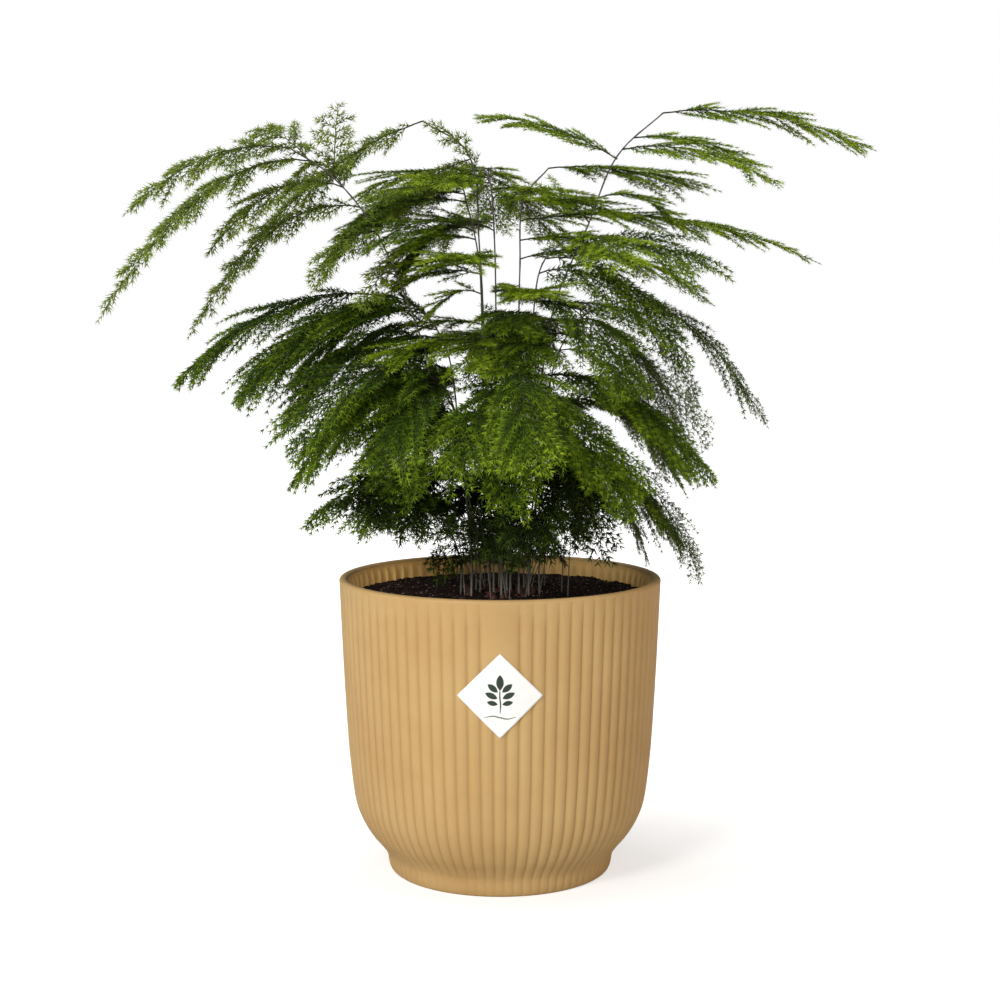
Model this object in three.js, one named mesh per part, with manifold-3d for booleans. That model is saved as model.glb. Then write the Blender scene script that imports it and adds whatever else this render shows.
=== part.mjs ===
// A potted asparagus fern: a ribbed plastic pot with a paper label, potting soil, the plant's
// crown, and seventeen wiry shoots, each a stem with flat feathery plumes.
// Millimetres, +Z up. The origin is the centre of the pot's underside. -Y is the front,
// where the label is.
import * as THREE from "three";
import { mergeVertices } from "three/addons/utils/BufferGeometryUtils.js";
import Module from "manifold-3d";

const wasm = await Module();
wasm.setup();

// ---- Driving dimensions ----

const clearance = 0.3; // gap between pieces that touch

const pot = {
  rimRadius: 70,
  height: 129,
  footRadius: 48.5,
  footHeight: 8,
  wall: 3.4,
  floor: 4,
  ribs: 80,
  ribDepth: 0.9,
  plainRimBand: 2.4, // smooth band above the ribs
  rimRound: 0.9,
  panelRibs: 3, // width of the smooth front panel, an odd number of ribs
  panelFade: 3, // the panel ends over this much above and below the label's middle
  recess: { inner: 15, outer: 38, depth: 1.2 }, // moulded ring in the underside
  pointsPerRib: 3, // two on the crest and one in the groove
  innerSegments: 48,
};

const label = { diagonal: 35, thickness: 0.3, belowRim: 39 };

const soil = { belowRim: 8, unevenness: 0.7 };

const crown = { radius: 23, height: 15, aboveSoil: 1, lobes: 7, lobeDepth: 1.2 };

// The tallest tip above the soil and the farthest tip from the pot's axis.
const plant = { height: 212, reach: 157 };

const stem = {
  radius: 0.75,
  sides: 6,
  socketDepth: 5,
  uprightFoot: 14, // the stem stands straight this far above the crown
  steps: 14,
};

const plume = {
  thickness: 1.5,
  edgeThickness: 0.6,
  tipWidth: 1.2,
  toothDepth: 0.3, // share of the half width between two teeth
  sideDroop: 0.22, // fall of the edges per millimetre of half width
  fullness: 0.85, // below 1 puts the widest place nearer the root
  steps: 10,
};

// The size of plant that the lengths in this table are for.
const drawn = { height: 212, reach: 157 };

// Each shoot stands in the crown at foot [share of its radius, degrees] and leans out along its
// own azimuth (0 is +X, 90 is the back). path holds [distance from the axis, height above the
// soil] up the stem. A plume leaves the stem at a share of its length, turned sideways from
// the azimuth by turn degrees. reach is its level length, lift pulls its middle up, fall is
// how far its tip ends below its root, and half is half its width.
const shoots = [
  // upper left, long and sparse
  {
    azimuth: 195, foot: [0.48, 215],
    path: [[17, 55], [40, 125], [57, 161], [74, 180], [90, 190]],
    plumes: [
      { at: 1, turn: -14, reach: 70, lift: 6, fall: 28, half: 11 },
      { at: 0.955, turn: 20, reach: 96, lift: 4, fall: 67, half: 10 },
      { at: 0.77, turn: 24, reach: 34, lift: 2, fall: 24, half: 7 },
      { at: 0.9, turn: -105, reach: 26, lift: 18, fall: -34, half: 8 },
      { at: 0.96, turn: -60, reach: 40, lift: 16, fall: -14, half: 9 },
    ],
  },
  // high arch to the left
  {
    azimuth: 168, foot: [0.2, 165],
    path: [[6, 80], [9, 150], [14, 190], [34, 204]],
    plumes: [
      { at: 1, turn: 6, reach: 84, lift: -12, fall: 62, half: 11 },
      { at: 0.67, turn: 4, reach: 48, lift: 4, fall: 2, half: 9 },
    ],
  },
  // high, left of the middle
  {
    azimuth: 205, foot: [0.22, 235],
    path: [[8, 90], [10, 145], [17, 174]],
    plumes: [
      { at: 1, turn: -38, reach: 64, lift: 10, fall: 33, half: 13 },
      { at: 0.88, turn: -22, reach: 34, lift: 4, fall: 2, half: 9 },
    ],
  },
  // top right
  {
    azimuth: 346, foot: [0.22, 310],
    path: [[15, 70], [24, 125], [38, 158], [51, 188], [70, 205]],
    plumes: [
      { at: 1, turn: 6, reach: 88, lift: 5, fall: 17, half: 11 },
      { at: 0.88, turn: 184, reach: 62, lift: 20, fall: -18, half: 9 },
      { at: 0.93, turn: 40, reach: 60, lift: 4, fall: 8, half: 9 },
    ],
  },
  // high right
  {
    azimuth: 18, foot: [0.22, 20],
    path: [[8, 80], [9, 140], [11, 171], [22, 184]],
    plumes: [
      { at: 1, turn: 0, reach: 70, lift: 4, fall: 7, half: 14 },
      { at: 0.86, turn: -8, reach: 136, lift: 12, fall: 18, half: 11 },
    ],
  },
  // right of the middle, towards the front
  {
    azimuth: 325, foot: [0.48, 320],
    path: [[15, 60], [17, 118], [22, 143], [34, 153]],
    plumes: [
      { at: 1, turn: 18, reach: 60, lift: 4, fall: 12, half: 14 },
      { at: 0.6, turn: 10, reach: 84, lift: 12, fall: 44, half: 14 },
    ],
  },
  // left, dense
  {
    azimuth: 172, foot: [0.48, 170],
    path: [[17, 60], [24, 108], [38, 126], [56, 130]],
    plumes: [
      { at: 1, turn: 8, reach: 88, lift: 6, fall: 40, half: 16 },
      { at: 0.84, turn: 28, reach: 84, lift: 10, fall: 38, half: 15 },
      { at: 0.78, turn: -28, reach: 78, lift: 9, fall: 28, half: 15 },
    ],
  },
  // left towards the front, dense
  {
    azimuth: 222, foot: [0.78, 225],
    path: [[20, 48], [27, 84], [40, 99], [54, 100]],
    plumes: [
      { at: 1, turn: -14, reach: 50, lift: 4, fall: 36, half: 15 },
      { at: 0.8, turn: -46, reach: 66, lift: 8, fall: 44, half: 14 },
      { at: 0.78, turn: 20, reach: 52, lift: 7, fall: 32, half: 14 },
    ],
  },
  // right, drooping
  {
    azimuth: 5, foot: [0.48, 350],
    path: [[18, 60], [25, 104], [38, 122], [54, 127]],
    plumes: [
      { at: 1, turn: -2, reach: 64, lift: 2, fall: 56, half: 11 },
      { at: 0.86, turn: 36, reach: 66, lift: 2, fall: 58, half: 11 },
      { at: 0.8, turn: -34, reach: 66, lift: 2, fall: 48, half: 12 },
    ],
  },
  // front
  {
    azimuth: 278, foot: [0.78, 272],
    path: [[20, 48], [27, 84], [38, 98], [50, 98]],
    plumes: [
      { at: 1, turn: -2, reach: 46, lift: 2, fall: 34, half: 15 },
      { at: 0.82, turn: -38, reach: 46, lift: 5, fall: 32, half: 14 },
      { at: 0.78, turn: 50, reach: 50, lift: 5, fall: 32, half: 14 },
    ],
  },
  // front right, low
  {
    azimuth: 312, foot: [0.78, 315],
    path: [[21, 32], [26, 52], [36, 60]],
    plumes: [
      { at: 1, turn: 0, reach: 28, lift: 2, fall: 40, half: 10 },
      { at: 0.8, turn: -52, reach: 34, lift: 4, fall: 26, half: 12 },
    ],
  },
  // low left
  {
    azimuth: 196, foot: [0.78, 190],
    path: [[22, 28], [28, 46], [40, 54]],
    plumes: [
      { at: 1, turn: -10, reach: 46, lift: 2, fall: 24, half: 10 },
      { at: 0.8, turn: 36, reach: 50, lift: 4, fall: 8, half: 14 },
    ],
  },
  // low right
  {
    azimuth: 352, foot: [0.78, 352],
    path: [[23, 34], [32, 56], [46, 61]],
    plumes: [
      { at: 1, turn: 2, reach: 42, lift: -2, fall: 56, half: 9 },
      { at: 0.8, turn: 40, reach: 56, lift: 2, fall: 36, half: 11 },
    ],
  },
  // back
  {
    azimuth: 84, foot: [0.48, 85],
    path: [[19, 58], [26, 100], [40, 118], [56, 120]],
    plumes: [{ at: 1, turn: 0, reach: 74, lift: 4, fall: 40, half: 15 }],
  },
  // back left, low
  {
    azimuth: 132, foot: [0.78, 135],
    path: [[22, 46], [30, 78], [44, 90], [58, 90]],
    plumes: [{ at: 1, turn: 0, reach: 64, lift: 4, fall: 38, half: 16 }],
  },
  // high back
  {
    azimuth: 100, foot: [0.22, 95],
    path: [[9, 85], [13, 150], [24, 178], [40, 186]],
    plumes: [
      { at: 1, turn: -14, reach: 76, lift: 6, fall: 26, half: 13 },
      { at: 0.92, turn: 44, reach: 72, lift: 8, fall: 20, half: 13 },
    ],
  },
  // back right, low
  {
    azimuth: 42, foot: [0.78, 40],
    path: [[22, 42], [30, 72], [44, 83], [58, 82]],
    plumes: [{ at: 1, turn: 0, reach: 60, lift: 4, fall: 38, half: 16 }],
  },
];

// ---- Values that follow from them ----

const soilTop = pot.height - soil.belowRim;
const crownTop = soilTop + crown.aboveSoil;
const socketBottom = crownTop - stem.socketDepth;
const labelCentre = pot.height - label.belowRim;
const ribAngle = (2 * Math.PI) / pot.ribs;
const taller = plant.height / drawn.height;
const wider = plant.reach / drawn.reach;

// ---- Helpers ----

const radians = THREE.MathUtils.degToRad;

// A closed solid of a lathe profile given as [radius, height] from the bottom up.
function turned(profile, segments, startAngle = 0) {
  const points = profile.map(([r, z]) => new THREE.Vector2(r, z));
  return new THREE.LatheGeometry(points, segments, startAngle).rotateX(Math.PI / 2);
}

function solidFrom(geometry) {
  const bare = geometry.clone();
  bare.deleteAttribute("normal");
  bare.deleteAttribute("uv");
  const merged = mergeVertices(bare, 1e-4);
  return new wasm.Manifold(
    new wasm.Mesh({
      numProp: 3,
      vertProperties: merged.attributes.position.array,
      triVerts: new Uint32Array(merged.index.array),
    }),
  );
}

function geometryFrom(solid) {
  const mesh = solid.getMesh();
  const geometry = new THREE.BufferGeometry();
  const positions = new Float32Array(mesh.numVert * 3);
  for (let i = 0; i < mesh.numVert; i++)
    for (let k = 0; k < 3; k++)
      positions[3 * i + k] = mesh.vertProperties[mesh.numProp * i + k];
  geometry.setAttribute("position", new THREE.BufferAttribute(positions, 3));
  geometry.setIndex(new THREE.BufferAttribute(mesh.triVerts, 1));
  geometry.computeVertexNormals();
  return geometry;
}

// Moves every vertex of a geometry by a function of its place.
function reshape(geometry, move) {
  const position = geometry.getAttribute("position");
  const v = new THREE.Vector3();
  for (let i = 0; i < position.count; i++) {
    v.fromBufferAttribute(position, i);
    move(v);
    position.setXYZ(i, v.x, v.y, v.z);
  }
  return geometry;
}

// ---- Pot ----

// The outer wall from foot to rim as [share of the way from foot radius to rim radius,
// share of the height above the foot].
const bowl = [[0.12, 0.015], [0.4, 0.075], [0.66, 0.165], [0.79, 0.31], [0.9, 0.6]];

function outerProfile() {
  const spread = pot.rimRadius - pot.footRadius;
  const rise = pot.height - pot.footHeight;
  return [
    [pot.footRadius, 0],
    [pot.footRadius + 1, pot.footHeight],
    ...bowl.map(([r, z]) => [pot.footRadius + r * spread, pot.footHeight + z * rise]),
    [pot.rimRadius - 0.1, pot.height - pot.plainRimBand],
    [pot.rimRadius, pot.height - pot.rimRound],
    [pot.rimRadius - pot.rimRound, pot.height],
  ];
}

// The radius of a profile at a height.
function radiusAt(points, z) {
  const above = Math.max(1, points.findIndex((p) => p[1] >= z));
  const [r0, z0] = points[above - 1];
  const [r1, z1] = points[above];
  return r0 + ((r1 - r0) * (z - z0)) / (z1 - z0);
}

const outerRadius = (z) => radiusAt(outerProfile(), z);

// The inside follows the outside at the wall's thickness, from the floor up to the rim.
function cavityProfile() {
  const heights = [pot.floor, pot.floor + 10, pot.floor + 24, pot.floor + 41, pot.floor + 76];
  const wall = heights.map((z) => [outerRadius(z) - pot.wall, z]);
  wall[0][0] -= pot.wall; // the inner corner is rounder than the outer one
  wall.push([pot.rimRadius - pot.wall - pot.rimRound / 2, pot.height]);
  return wall;
}

// Presses the grooves between the ribs into a plain wall.
function pressGrooves(wall) {
  const ribTop = pot.height - pot.plainRimBand / 2;
  return reshape(wall, (v) => {
    const radius = Math.hypot(v.x, v.y);
    if (radius < pot.footRadius / 2 || v.z > ribTop) return;
    const ribsFromPanel = Math.abs(Math.atan2(v.x, -v.y)) / ribAngle - pot.panelRibs / 2;
    const onCrest = Math.abs(ribsFromPanel - Math.round(ribsFromPanel)) > 0.1;
    const onPanel = ribsFromPanel < -0.1 && v.z > labelCentre;
    if (onCrest || onPanel) return;
    v.x *= 1 - pot.ribDepth / radius;
    v.y *= 1 - pot.ribDepth / radius;
  });
}

function potSolid() {
  const fade = [labelCentre - pot.panelFade, labelCentre + pot.panelFade];
  const outline = [...outerProfile(), ...fade.map((z) => [outerRadius(z), z])];
  outline.sort((a, b) => a[1] - b[1]);
  const body = turned(
    [[0, 0], ...outline, [0, pot.height]],
    pot.ribs * pot.pointsPerRib,
    ribAngle / pot.pointsPerRib / 2,
  );
  pressGrooves(body);
  const over = 5;
  const cavity = cavityProfile();
  const mouth = cavity[cavity.length - 1][0];
  const hollow = turned(
    [[0, pot.floor], ...cavity, [mouth, pot.height + over], [0, pot.height + over]],
    pot.innerSegments,
  );
  const { inner, outer, depth } = pot.recess;
  const ring = turned(
    [[inner, -over], [outer, -over], [outer, depth], [inner, depth], [inner, -over]],
    pot.innerSegments,
  );
  return solidFrom(body).subtract(solidFrom(hollow)).subtract(solidFrom(ring));
}

// ---- Label ----

// A paper diamond that follows the rib crests round the front of the pot.
function labelSolid() {
  const half = label.diagonal / 2;
  const heights = [-1, -0.5, 0, 0.5, 1].map((s) => labelCentre + s * (half + 1));
  const inner = heights.map((z) => [outerRadius(z) + clearance, z]);
  const outer = heights.map((z) => [outerRadius(z) + clearance + label.thickness, z]).reverse();
  const sleeve = turned([...inner, ...outer, inner[0]].reverse(), 120);
  const tips = [[half, 0], [0, half], [-half, 0], [0, -half]];
  const diamond = new THREE.Shape(tips.map(([x, y]) => new THREE.Vector2(x, y)));
  const prism = new THREE.ExtrudeGeometry(diamond, { depth: pot.rimRadius * 2, bevelEnabled: false });
  prism.rotateX(Math.PI / 2).translate(0, 0, labelCentre);
  return solidFrom(sleeve).intersect(solidFrom(prism));
}

// ---- Soil and crown ----

function crownGeometry(grow) {
  const r = crown.radius + grow;
  const bottom = crownTop - crown.height - grow;
  const lathe = turned(
    [[0, bottom], [r * 0.6, bottom], [r * 0.95, bottom + crown.height * 0.35],
      [r, crownTop - 2], [r * 0.9, crownTop + grow], [0, crownTop + grow]],
    28,
  );
  return reshape(lathe, (v) => {
    const angle = Math.atan2(v.y, v.x);
    const share = Math.hypot(v.x, v.y) / r;
    const scale = 1 - (crown.lobeDepth / r) * share * (1 + Math.sin(crown.lobes * angle)) / 2;
    v.x *= scale;
    v.y *= scale;
  });
}

function soilSolid() {
  const cavity = cavityProfile();
  const shoulder = soilTop - 2;
  const wall = cavity.filter(([, z]) => z < shoulder - 5);
  wall.push([radiusAt(cavity, shoulder), shoulder]);
  const outline = wall.map(([r, z]) => [r - clearance, z + clearance]);
  const edge = outline[outline.length - 1][0];
  const lathe = turned(
    [[0, outline[0][1]], ...outline, [edge - 3, soilTop], [edge * 0.75, soilTop],
      [crown.radius + 4, soilTop], [0, soilTop]],
    pot.innerSegments,
  );
  reshape(lathe, (v) => {
    const radius = Math.hypot(v.x, v.y);
    if (v.z < soilTop - 0.5 || radius < 1) return;
    const angle = Math.atan2(v.y, v.x);
    v.z += soil.unevenness * Math.sin(3 * angle + radius / 9) * Math.cos(5 * angle - radius / 6);
  });
  const dish = turned(
    [[0, crownTop - 4], [crown.radius, crownTop - 4], [crown.radius, crownTop + 10], [0, crownTop + 10]],
    28,
  );
  return solidFrom(lathe).subtract(solidFrom(crownGeometry(clearance))).subtract(solidFrom(dish));
}

// ---- Shoots ----

// A point from its distance from the axis, its azimuth in degrees and its height.
function polar(r, azimuth, z) {
  return new THREE.Vector3(r * Math.cos(radians(azimuth)), r * Math.sin(radians(azimuth)), z);
}

function footOf(shoot, z) {
  const [share, azimuth] = shoot.foot;
  return polar(share * crown.radius, azimuth, z);
}

function stemCurve(shoot) {
  const upright = [socketBottom + clearance, crownTop + stem.uprightFoot];
  const leaning = shoot.path.map(([r, h]) => polar(r * wider, shoot.azimuth, soilTop + h * taller));
  const points = [...upright.map((z) => footOf(shoot, z)), ...leaning];
  return new THREE.CatmullRomCurve3(points, false, "centripetal");
}

// The place and direction of the stem's centre line at a share of its length, on the straight
// stretches between its rings.
function onStem(shoot, share) {
  const rings = stemCurve(shoot).getSpacedPoints(stem.steps);
  const below = Math.min(Math.floor(share * stem.steps), stem.steps - 1);
  return {
    place: rings[below].clone().lerp(rings[below + 1], share * stem.steps - below),
    way: rings[below + 1].clone().sub(rings[below]).normalize(),
  };
}

function stemGeometry(shoot) {
  const corners = Array.from({ length: stem.sides }, (_, i) => {
    const a = (2 * Math.PI * i) / stem.sides;
    return new THREE.Vector2(stem.radius * Math.cos(a), stem.radius * Math.sin(a));
  });
  return new THREE.ExtrudeGeometry(new THREE.Shape(corners), {
    steps: stem.steps,
    extrudePath: stemCurve(shoot),
    bevelEnabled: false,
  });
}

function socketSolid(shoot) {
  const radius = stem.radius + clearance;
  const over = 4;
  const hole = new THREE.CylinderGeometry(radius, radius, stem.socketDepth + over, 12);
  const middle = footOf(shoot, socketBottom + (stem.socketDepth + over) / 2);
  return solidFrom(hole.rotateX(Math.PI / 2).translate(middle.x, middle.y, middle.z));
}

function crownSolid() {
  return shoots.reduce(
    (solid, shoot) => solid.subtract(socketSolid(shoot)),
    solidFrom(crownGeometry(0)),
  );
}

// The midrib's direction and the plate's level and upward directions at a share of its length.
function plumeAxes(curve, share) {
  const tangent = curve.getTangent(share);
  const side = new THREE.Vector3(0, 0, 1).cross(tangent).normalize();
  return { tangent, side, normal: tangent.clone().cross(side) };
}

// The midrib of a plume, from just outside the stem's surface to the tip.
function plumeCurve(shoot, spray) {
  const { place: start, way: stemWay } = onStem(shoot, spray.at);
  const heading = shoot.azimuth + spray.turn;
  const middle = polar((spray.reach * wider) / 2, heading, spray.lift * taller).add(start);
  const end = polar(spray.reach * wider, heading, -spray.fall * taller).add(start);
  const { tangent, side, normal } = plumeAxes(new THREE.QuadraticBezierCurve3(start, middle, end), 0);
  const atTip = spray.at === 1;
  const away = atTip ? stemWay : tangent.addScaledVector(stemWay, -tangent.dot(stemWay)).normalize();
  const rootHalf =
    (Math.abs(side.dot(away)) * plume.tipWidth + Math.abs(normal.dot(away)) * plume.edgeThickness) / 2;
  start.addScaledVector(away, clearance + rootHalf + (atTip ? 0 : stem.radius));
  return new THREE.QuadraticBezierCurve3(start, middle, end);
}

// The half width of a plume along its length: narrow at the root, widest before the middle, a
// point at the tip, with teeth where its twigs are.
function halfWidth(spray, share, step) {
  const leaf = Math.sin(Math.PI * Math.pow(share, plume.fullness));
  const tooth = step % 2 ? 1 : 1 - plume.toothDepth;
  return Math.max(spray.half * wider * leaf * tooth, plume.tipWidth / 2);
}

function plumeGeometry(shoot, spray) {
  const curve = plumeCurve(shoot, spray);
  const plate = new THREE.BoxGeometry(1, 2, 1, plume.steps, 2, 1);
  return reshape(plate, (v) => {
    const share = v.x + 0.5;
    const step = Math.round(share * plume.steps);
    const half = halfWidth(spray, share, step);
    const { side, normal } = plumeAxes(curve, share);
    const ends = step === 0 || step === plume.steps;
    const thick = v.y === 0 && !ends ? plume.thickness : plume.edgeThickness;
    const across = v.y * half;
    const through = v.z * thick - Math.abs(across) * plume.sideDroop;
    v.copy(curve.getPoint(share)).addScaledVector(side, across).addScaledVector(normal, through);
  });
}

// ---- Materials ----

const matt = (color, roughness) =>
  new THREE.MeshStandardMaterial({ color, roughness, metalness: 0 });
const potPlastic = matt(0xc9a76b, 0.55);
const labelPaper = matt(0xf6f5f0, 0.5);
const pottingSoil = matt(0x1f1813, 0.95);
const crownSkin = matt(0x7a5a42, 0.8);
const stemSkin = matt(0x5f7347, 0.6);
const plumeGreen = matt(0x3f6a22, 0.65);

// ---- The plant in its pot ----

const group = new THREE.Group();

function add(name, geometry, material) {
  const mesh = new THREE.Mesh(geometry, material);
  mesh.name = name;
  group.add(mesh);
}

add("pot", geometryFrom(potSolid()), potPlastic);
add("label", geometryFrom(labelSolid()), labelPaper);
add("soil", geometryFrom(soilSolid()), pottingSoil);
add("crown", geometryFrom(crownSolid()), crownSkin);
shoots.forEach((shoot, i) => {
  const number = String(i + 1).padStart(2, "0");
  add("stem_" + number, stemGeometry(shoot), stemSkin);
  shoot.plumes.forEach((spray, k) => {
    add("plume_" + number + "abcde"[k], plumeGeometry(shoot, spray), plumeGreen);
  });
});

export default group;
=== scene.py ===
import math
import random

import bmesh
import bpy
import numpy as np
from mathutils import Matrix, Vector, noise


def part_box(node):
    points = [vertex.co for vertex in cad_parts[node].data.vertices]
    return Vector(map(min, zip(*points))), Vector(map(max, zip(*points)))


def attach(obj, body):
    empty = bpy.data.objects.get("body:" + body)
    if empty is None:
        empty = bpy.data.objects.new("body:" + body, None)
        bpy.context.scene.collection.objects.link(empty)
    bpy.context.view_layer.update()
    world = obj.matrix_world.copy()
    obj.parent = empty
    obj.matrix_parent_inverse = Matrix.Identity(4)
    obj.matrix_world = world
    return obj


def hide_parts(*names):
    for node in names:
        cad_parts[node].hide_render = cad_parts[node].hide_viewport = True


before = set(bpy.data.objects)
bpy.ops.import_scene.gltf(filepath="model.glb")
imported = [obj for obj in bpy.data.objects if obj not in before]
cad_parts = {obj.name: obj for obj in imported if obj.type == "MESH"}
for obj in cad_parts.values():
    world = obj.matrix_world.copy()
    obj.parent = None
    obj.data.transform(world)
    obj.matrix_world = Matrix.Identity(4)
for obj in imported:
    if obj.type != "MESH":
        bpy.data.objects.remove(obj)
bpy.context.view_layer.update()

# A potted asparagus fern in metres, standing on z = 0 with its label towards -Y.
mm = 0.001
up = Vector((0, 0, 1))
scene = bpy.context.scene
bakeMap = "OFBake"


# Camera and light

shot = {
    "place": (0, -0.8, 0.2466),
    "aim": (0, 0, 0.1621),
    "angle": 30.25,  # degrees across
}

# Each lamp: place, aim, size, watts, colour
lamps = {
    "key": ((-0.95, -1.5, 1.05), (0, 0, 0.14), 0.5, 23, (1, 0.985, 0.95)),
    "left": ((-1.6, -0.1, 0.7), (0, 0, 0.14), 1.0, 5, (1, 0.99, 0.97)),
    "front": ((0.35, -1.8, 0.55), (0, 0, 0.14), 0.6, 8, (1, 0.99, 0.96)),
    "top": ((-0.15, 0.1, 1.8), (0, 0, 0.2), 0.8, 22, (1, 1, 0.98)),
    "warmSide": ((1.3, 0.2, 0.3), (0, 0, 0.1), 0.8, 3, (1, 0.58, 0.25)),
}

room = {
    "skySeen": 1.0,
    "skyLight": 0.19,
    "floorHalf": 14,
    "floorColour": (0.6, 0.6, 0.6),
    "floorRoughness": 0.8,
    "floorGlow": (0.62, 1.0),  # what the eye sees beside the pot, and far away
    "glowSpan": (0.3, 1.4),
}


def aimAt(obj, place, aim):
    obj.location = place
    obj.rotation_euler = (Vector(aim) - Vector(place)).to_track_quat("-Z", "Y").to_euler()


def makeCamera():
    data = bpy.data.cameras.new("camera")
    data.sensor_width = 36
    data.angle = math.radians(shot["angle"])
    camera = bpy.data.objects.new("camera", data)
    aimAt(camera, shot["place"], shot["aim"])
    scene.collection.objects.link(camera)
    scene.camera = camera


def makeLamps():
    for name, (place, aim, size, watts, colour) in lamps.items():
        data = bpy.data.lights.new(name, "AREA")
        data.size = size
        data.energy = watts
        data.color = colour
        lamp = bpy.data.objects.new(name, data)
        aimAt(lamp, place, aim)
        scene.collection.objects.link(lamp)


# Linear colour of a screen colour
def linear(r, g, b):
    return tuple(((c / 255 + 0.055) / 1.055) ** 2.4 if c > 10 else c / 255 / 12.92 for c in (r, g, b))


# Node helpers

def addNode(tree, kind, **settings):
    node = tree.nodes.new(kind)
    for key, value in settings.items():
        if hasattr(node, key):
            setattr(node, key, value)
        else:
            node.inputs[key].default_value = value
    return node


# Feeds a socket from another one, or sets its plain number or colour
def give(socket, value):
    if isinstance(value, bpy.types.NodeSocket):
        socket.id_data.links.new(value, socket)
    else:
        socket.default_value = value if isinstance(value, (int, float)) else (*value, 1)


def newMaterial(name, specular=0.5):
    material = bpy.data.materials.new(name)
    material.use_nodes = True
    shader = material.node_tree.nodes["Principled BSDF"]
    shader.inputs["Specular IOR Level"].default_value = specular
    return material, material.node_tree, shader


# A shader group that reads a Vector and some numbers and puts out one value
def newGroup(name, numbers, out):
    group = bpy.data.node_groups.new(name, "ShaderNodeTree")
    group.interface.new_socket("Vector", in_out="INPUT", socket_type="NodeSocketVector")
    for key, value in numbers.items():
        group.interface.new_socket(key, in_out="INPUT", socket_type="NodeSocketFloat").default_value = value
    group.interface.new_socket(out, in_out="OUTPUT", socket_type="NodeSocketFloat")
    return group, group.nodes.new("NodeGroupInput"), group.nodes.new("NodeGroupOutput")


def useGroup(tree, group, vector, **values):
    node = tree.nodes.new("ShaderNodeGroup")
    node.node_tree = group
    for key, value in {"Vector": vector, **values}.items():
        give(node.inputs[key], value)
    return node.outputs[0]


def addMath(tree, operation, *values, clamp=False):
    node = addNode(tree, "ShaderNodeMath", operation=operation, use_clamp=clamp)
    for socket, value in zip(node.inputs, values):
        give(socket, value)
    return node.outputs[0]


def addRamp(tree, factor, stops):
    ramp = tree.nodes.new("ShaderNodeValToRGB")
    elements = ramp.color_ramp.elements
    while len(elements) < len(stops):
        elements.new(0.5)
    for element, (position, colour) in zip(elements, stops):
        element.position = position
        element.color = (*colour, 1)
    give(ramp.inputs["Fac"], factor)
    return ramp.outputs["Color"]


def addMix(tree, factor, a, b):
    mix = tree.nodes.new("ShaderNodeMix")
    mix.data_type = "RGBA"
    for socket, value in zip((mix.inputs[0], mix.inputs[6], mix.inputs[7]), (factor, a, b)):
        give(socket, value)
    return mix.outputs[2]


def addRange(tree, value, *limits):
    node = tree.nodes.new("ShaderNodeMapRange")
    for key, number in zip(("From Min", "From Max", "To Min", "To Max"), limits):
        node.inputs[key].default_value = number
    give(node.inputs["Value"], value)
    return node.outputs["Result"]


def objectPlace(tree):
    return addNode(tree, "ShaderNodeTexCoord").outputs["Object"]


def axisOf(tree, vector, axis):
    node = addNode(tree, "ShaderNodeSeparateXYZ")
    give(node.inputs[0], vector)
    return node.outputs[axis]


# Soft cloudy patches with finer ones inside them, from 0 to 1
def makeMottle():
    group, given, result = newGroup("mottle", {"Scale": 100, "Contrast": 1}, "Value")
    cloud = addNode(group, "ShaderNodeTexNoise", Detail=5.0, Roughness=0.6)
    for key in ("Vector", "Scale"):
        give(cloud.inputs[key], given.outputs[key])
    centred = addMath(group, "SUBTRACT", cloud.outputs["Fac"], 0.5)
    spread = addMath(group, "MULTIPLY_ADD", centred, given.outputs["Contrast"], 0.5, clamp=True)
    give(result.inputs["Value"], spread)
    return group


# Fine grit and pits for bump
def makeGrit():
    group, given, result = newGroup("grit", {"Scale": 1000, "Pits": 0.4}, "Height")
    fine = addNode(group, "ShaderNodeTexNoise", Detail=3.0, Roughness=0.55)
    cells = addNode(group, "ShaderNodeTexVoronoi")
    for node in (fine, cells):
        for key in ("Vector", "Scale"):
            give(node.inputs[key], given.outputs[key])
    pits = addMath(group, "MULTIPLY", cells.outputs["Distance"], given.outputs["Pits"])
    give(result.inputs["Height"], addMath(group, "ADD", pits, fine.outputs["Fac"]))
    return group


mottle = makeMottle()
grit = makeGrit()


def patchy(tree, place, scale, contrast):
    return useGroup(tree, mottle, place, Scale=scale, Contrast=contrast)


# Lays a second colour over the first where a mask rises from low to high, up to a share of it
def glaze(tree, mask, low, high, most, first, second):
    return addMix(tree, addRange(tree, mask, low, high, 0, most), first, second)


# Gives a shader its colour and its finish: the roughness where a mask is 0 and where it is 1, then
# the grit's scale, pits, strength and depth
def finishShader(shader, colour, mask, finish):
    tree = shader.id_data
    roughness, (scale, pits, strength, depth) = finish
    give(shader.inputs["Base Color"], colour)
    give(shader.inputs["Roughness"], addRange(tree, mask, 0, 1, *roughness))
    bump = addNode(tree, "ShaderNodeBump", Strength=strength, Distance=depth)
    give(bump.inputs["Height"], useGroup(tree, grit, objectPlace(tree), Scale=scale, Pits=pits))
    give(shader.inputs["Normal"], bump.outputs["Normal"])


# Making pieces

def addObject(name, bm, material, smooth=False):
    mesh = bpy.data.meshes.new(name)
    bm.to_mesh(mesh)
    bm.free()
    mesh.materials.append(material)
    if smooth:
        mesh.shade_smooth()
    else:
        mesh.shade_flat()
    obj = bpy.data.objects.new(name, mesh)
    scene.collection.objects.link(obj)
    return obj


def addPiece(name, bm, material, slot, *nodes, smooth=True):
    piece = addObject(name, bm, material, smooth)
    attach(piece, "root")
    if nodes:
        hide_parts(*nodes)


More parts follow.
